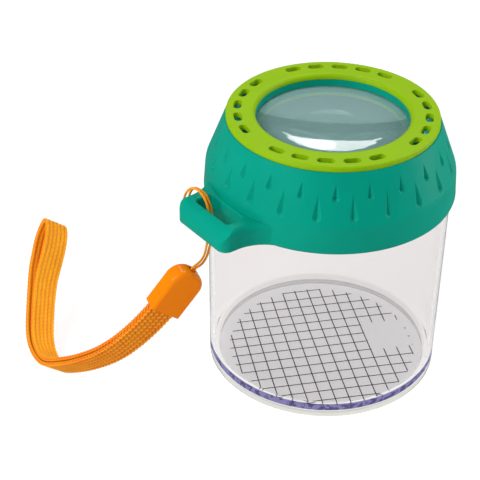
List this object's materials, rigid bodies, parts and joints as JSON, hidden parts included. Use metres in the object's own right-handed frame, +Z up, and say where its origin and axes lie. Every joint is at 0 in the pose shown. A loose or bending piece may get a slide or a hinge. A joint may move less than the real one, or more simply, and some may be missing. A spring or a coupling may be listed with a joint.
{
  "type": "bug catcher jar",
  "caption": "Clear collecting jar with a printed measuring grid, a screw-on vented magnifier lid and a wrist strap hitched to the lid's lug.",
  "frame": {"origin": "centre of the jar's foot on the surface it stands on", "axes": "+Z up along the jar's axis; the lid's strap lug points along -X with the lid closed"},
  "size_m": [0.1411, 0.1358, 0.1012],
  "materials": {
    "clear_plastic": "clear, polished",
    "green_plastic": "satin moulded",
    "lime_plastic": "matte moulded",
    "lens_plastic": "clear, polished",
    "orange_string": "braided thread",
    "orange_plastic": "gloss moulded",
    "orange_webbing": "ribbed woven band"
  },
  "bodies": {
    "jar": {"jar_cup": "clear_plastic"},
    "lens": {"magnifier_lens": "lens_plastic"},
    "lid": {"lid_collar": "green_plastic", "vent_ring": "lime_plastic", "strap_string": "orange_string", "string_knot": "orange_string", "strap_cap": "orange_plastic", "wrist_strap": "orange_webbing"}
  },
  "joints": [
    {"name": "lid_rise", "type": "slide", "parent": "jar", "child": "lens", "axis": [0, 0, 1], "range_m": [0, 0.005]},
    {"name": "lid_turn", "type": "hinge", "parent": "lens", "child": "lid", "pos_m": [0, 0, 0.0722], "axis": [0, 0, 1], "range_deg": [0, 450]}
  ],
  "couplings": [
    {"joint": "lid_rise", "follows": "lid_turn", "m_per_rad": 0.00063662}
  ]
}
